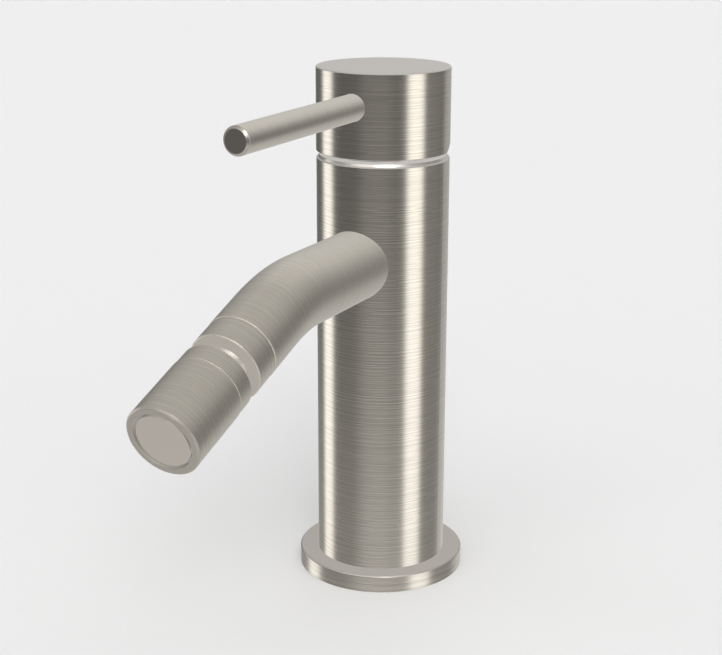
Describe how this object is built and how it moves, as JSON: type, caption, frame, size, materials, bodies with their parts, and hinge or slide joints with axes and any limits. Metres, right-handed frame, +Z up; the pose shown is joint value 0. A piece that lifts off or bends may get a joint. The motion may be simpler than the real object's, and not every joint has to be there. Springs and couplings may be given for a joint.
{
  "type": "bidet mixer",
  "caption": "Single-lever bidet mixer: round column on a thin flange, cap with a pin lever, bent pipe spout and an outlet on a ball joint.",
  "frame": {"origin": "centre of the foot's flat underside, on the column's axis, at the level of the deck", "axes": "+Z up along the column; -Y forward, the way the spout and the lever point; +X to the right of a person facing the spout"},
  "size_m": [0.0516, 0.1486, 0.1584],
  "materials": {
    "brushed_nickel": "satin",
    "bright_nickel": "polished",
    "bare_brass": "satin",
    "copper_tube": "satin",
    "bright_steel": "satin",
    "white_ceramic": "satin",
    "dark_ceramic": "satin",
    "black_rubber": "matte",
    "white_seat": "matte",
    "pale_acetal": "matte",
    "red_acetal": "matte"
  },
  "bodies": {
    "column": {"base_flange": "brushed_nickel", "deck_seal": "black_rubber", "column_tube": "brushed_nickel", "foot_plug": "bare_brass", "hot_riser": "copper_tube", "cold_riser": "copper_tube", "cartridge_block": "bare_brass", "cartridge_gasket": "black_rubber", "cartridge_base": "pale_acetal", "fixed_disc": "white_ceramic", "cartridge_housing": "pale_acetal", "cartridge_nut": "bare_brass", "cover_ring": "bright_nickel", "spout_pipe": "brushed_nickel", "spout_seal": "black_rubber", "joint_collar": "brushed_nickel", "collar_seal": "black_rubber", "ball_retainer": "bare_brass"},
    "turret": {"cartridge_turret": "pale_acetal", "limit_ring": "red_acetal", "stem_pin": "bright_steel"},
    "handle": {"handle_cap": "brushed_nickel", "grub_screw": "bright_steel", "lever_pin": "brushed_nickel", "stem": "bare_brass"},
    "disc": {"disc_carrier": "pale_acetal", "moving_disc": "dark_ceramic"},
    "seat": {"ball_seat": "white_seat"},
    "outlet": {"ball_outlet": "brushed_nickel", "outlet_sleeve": "brushed_nickel", "aerator_washer": "black_rubber", "filter_screen": "bright_steel", "flow_insert": "pale_acetal", "aerator_face": "brushed_nickel"}
  },
  "joints": [
    {"name": "temperature_turn", "type": "hinge", "parent": "column", "child": "turret", "pos_m": [0, 0, 0.133], "axis": [0, 0, 1], "range_deg": [-45, 45]},
    {"name": "flow_lift", "type": "hinge", "parent": "turret", "child": "handle", "pos_m": [0, 0, 0.133], "axis": [-1, 0, 0], "range_deg": [0, 25]},
    {"name": "disc_slide", "type": "slide", "parent": "turret", "child": "disc", "axis": [0, -1, 0], "range_m": [0, 0.0034]},
    {"name": "outlet_swivel", "type": "hinge", "parent": "column", "child": "seat", "pos_m": [0, -0.08551, 0.09239], "axis": [0, -0.9397, -0.342], "continuous": true},
    {"name": "outlet_tilt", "type": "hinge", "parent": "seat", "child": "outlet", "pos_m": [0, -0.08551, 0.09239], "axis": [1, 0, 0], "range_deg": [-15, 15]}
  ],
  "couplings": [
    {"joint": "disc_slide", "follows": "flow_lift", "m_per_rad": 0.0077486}
  ]
}
